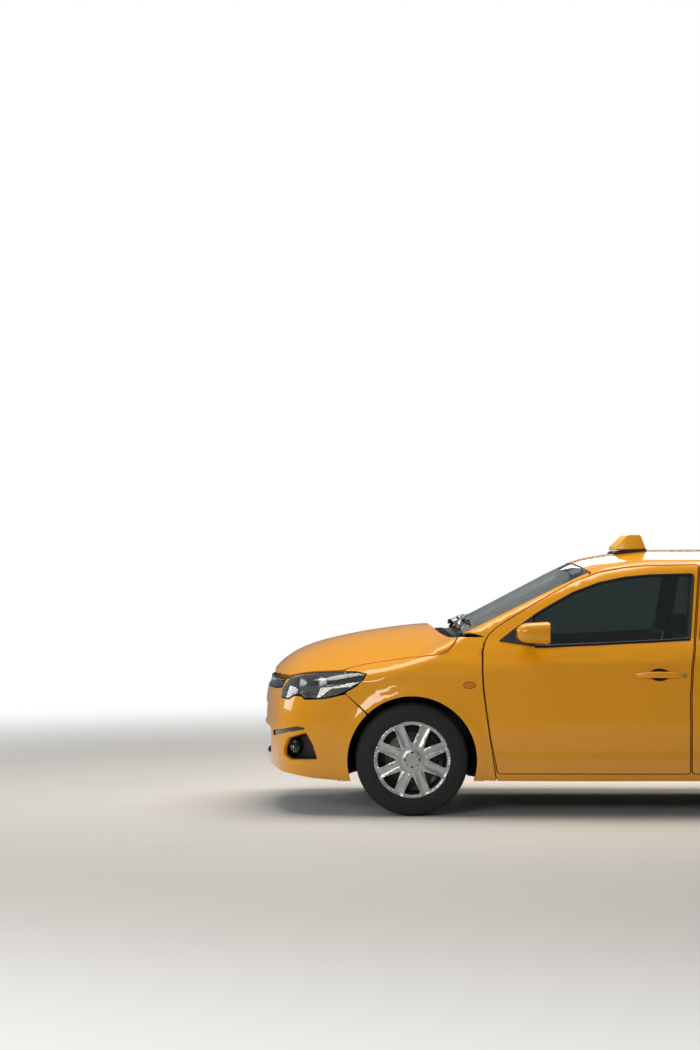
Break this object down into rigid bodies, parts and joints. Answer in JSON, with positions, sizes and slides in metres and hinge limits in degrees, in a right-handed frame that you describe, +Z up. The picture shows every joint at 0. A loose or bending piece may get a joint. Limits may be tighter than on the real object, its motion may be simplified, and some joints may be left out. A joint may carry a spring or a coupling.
{
  "type": "taxi cab",
  "caption": "Compact four-door saloon taxi with roof sign; doors, bonnet and boot lid open, front wheels steer and all wheels turn",
  "frame": {"origin": "on the ground under the middle of the car", "axes": "X from nose to tail, Y to the car's right, Z up"},
  "size_m": [4.4418, 1.95, 1.551],
  "materials": {
    "yellow_paint": "gloss",
    "tinted_glass": "gloss",
    "lamp_lens": "gloss",
    "red_lens": "gloss",
    "yellow_plastic": "satin",
    "body_primer": "matte",
    "black_plastic": "matte",
    "cast_aluminium": "matte",
    "black_steel": "satin",
    "exhaust_steel": "satin",
    "grey_cloth": "matte",
    "silver_wheel": "satin",
    "tyre_rubber": "matte"
  },
  "bodies": {
    "body": {"body_side_left": "yellow_paint", "body_side_right": "yellow_paint", "cowl": "black_plastic", "dashboard": "black_plastic", "engine_block": "cast_aluminium", "exhaust": "exhaust_steel", "floor_pan": "body_primer", "front_bumper": "yellow_paint", "front_fender_left": "yellow_paint", "front_fender_right": "yellow_paint", "front_seat_left": "grey_cloth", "front_seat_right": "grey_cloth", "front_subframe": "black_steel", "grille": "black_plastic", "headlamp_left": "lamp_lens", "headlamp_right": "lamp_lens", "rear_axle": "black_steel", "rear_bench": "grey_cloth", "rear_bumper": "yellow_paint", "rear_window": "tinted_glass", "roof_panel": "yellow_paint", "steering_wheel": "black_plastic", "tail_lamp_left": "red_lens", "tail_lamp_right": "red_lens", "taxi_sign": "yellow_plastic", "windscreen": "tinted_glass"},
    "door_front_left": {"door_front_left": "yellow_paint", "glass_front_left": "tinted_glass", "mirror_left": "yellow_paint"},
    "door_front_right": {"door_front_right": "yellow_paint", "glass_front_right": "tinted_glass", "mirror_right": "yellow_paint"},
    "door_rear_left": {"door_rear_left": "yellow_paint", "glass_rear_left": "tinted_glass"},
    "door_rear_right": {"door_rear_right": "yellow_paint", "glass_rear_right": "tinted_glass"},
    "bonnet": {"bonnet": "yellow_paint"},
    "boot_lid": {"boot_lid": "yellow_paint"},
    "knuckle_left": {"knuckle_left": "black_steel"},
    "knuckle_right": {"knuckle_right": "black_steel"},
    "wheel_front_left": {"wheel_front_left": "silver_wheel", "tyre_front_left": "tyre_rubber"},
    "wheel_front_right": {"wheel_front_right": "silver_wheel", "tyre_front_right": "tyre_rubber"},
    "wheel_rear_left": {"wheel_rear_left": "silver_wheel", "tyre_rear_left": "tyre_rubber"},
    "wheel_rear_right": {"wheel_rear_right": "silver_wheel", "tyre_rear_right": "tyre_rubber"}
  },
  "joints": [
    {"name": "door_front_left_hinge", "type": "hinge", "parent": "body", "child": "door_front_left", "pos_m": [-1.003, -0.874, 0.6], "axis": [0, 0, -1], "range_deg": [0, 65]},
    {"name": "door_rear_left_hinge", "type": "hinge", "parent": "body", "child": "door_rear_left", "pos_m": [0.143, -0.874, 0.6], "axis": [0, 0, -1], "range_deg": [0, 65]},
    {"name": "steer_left", "type": "hinge", "parent": "body", "child": "knuckle_left", "pos_m": [-1.391, -0.65, 0.3105], "axis": [0, 0, 1], "range_deg": [-35, 35]},
    {"name": "wheel_front_left_spin", "type": "hinge", "parent": "knuckle_left", "child": "wheel_front_left", "pos_m": [-1.391, -0.75, 0.3105], "axis": [0, -1, 0], "continuous": true},
    {"name": "wheel_rear_left_spin", "type": "hinge", "parent": "body", "child": "wheel_rear_left", "pos_m": [1.261, -0.739, 0.3105], "axis": [0, -1, 0], "continuous": true},
    {"name": "door_front_right_hinge", "type": "hinge", "parent": "body", "child": "door_front_right", "pos_m": [-1.003, 0.874, 0.6], "axis": [0, 0, 1], "range_deg": [0, 65]},
    {"name": "door_rear_right_hinge", "type": "hinge", "parent": "body", "child": "door_rear_right", "pos_m": [0.143, 0.874, 0.6], "axis": [0, 0, 1], "range_deg": [0, 65]},
    {"name": "steer_right", "type": "hinge", "parent": "body", "child": "knuckle_right", "pos_m": [-1.391, 0.65, 0.3105], "axis": [0, 0, 1], "range_deg": [-35, 35]},
    {"name": "wheel_front_right_spin", "type": "hinge", "parent": "knuckle_right", "child": "wheel_front_right", "pos_m": [-1.391, 0.75, 0.3105], "axis": [0, -1, 0], "continuous": true},
    {"name": "wheel_rear_right_spin", "type": "hinge", "parent": "body", "child": "wheel_rear_right", "pos_m": [1.261, 0.739, 0.3105], "axis": [0, -1, 0], "continuous": true},
    {"name": "bonnet_hinge", "type": "hinge", "parent": "body", "child": "bonnet", "pos_m": [-1.15, 0, 0.94], "axis": [0, 1, 0], "range_deg": [0, 55]},
    {"name": "boot_lid_hinge", "type": "hinge", "parent": "body", "child": "boot_lid", "pos_m": [1.6, 0, 1.092], "axis": [0, -1, 0], "range_deg": [0, 70]}
  ],
  "couplings": [
    {"joint": "steer_right", "follows": "steer_left", "ratio": 1}
  ]
}
